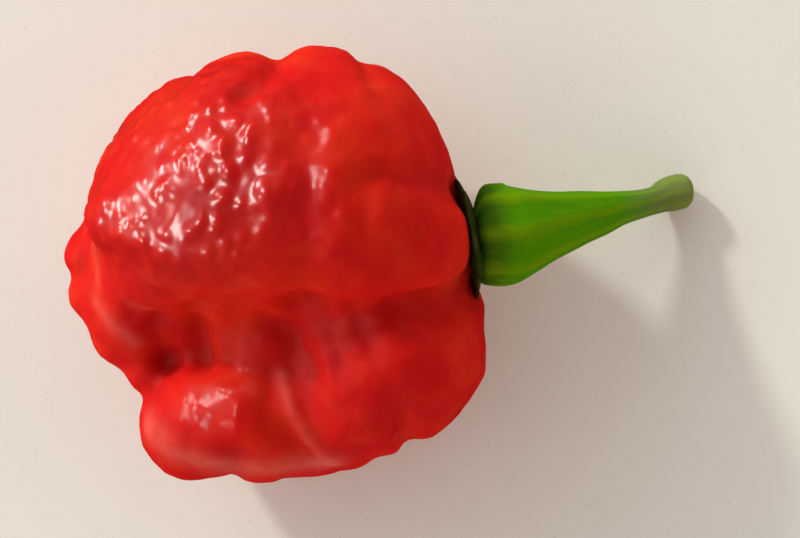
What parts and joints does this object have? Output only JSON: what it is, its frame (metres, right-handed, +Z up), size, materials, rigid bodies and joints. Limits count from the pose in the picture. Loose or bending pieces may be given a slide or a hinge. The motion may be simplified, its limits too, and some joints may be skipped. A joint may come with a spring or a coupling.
{
  "type": "chilli pepper",
  "caption": "Lumpy, deeply folded round chilli pod lying on its side, with a thin toothed calyx and a flared, ribbed stem whose knobbed tip reaches the surface.",
  "frame": {"origin": "on the surface that the pepper lies on, under the middle of its bounding box", "axes": "+X from the pod's blossom end towards the stem's tip, +Z up as it lies"},
  "size_m": [0.0663, 0.0444, 0.0342],
  "materials": {
    "pod_skin": "glossy waxy red skin",
    "calyx_skin": "dull dark olive green skin",
    "stem_skin": "satin green skin"
  },
  "bodies": {
    "root": {"pod": "pod_skin", "calyx": "calyx_skin", "stem": "stem_skin"}
  },
  "joints": []
}
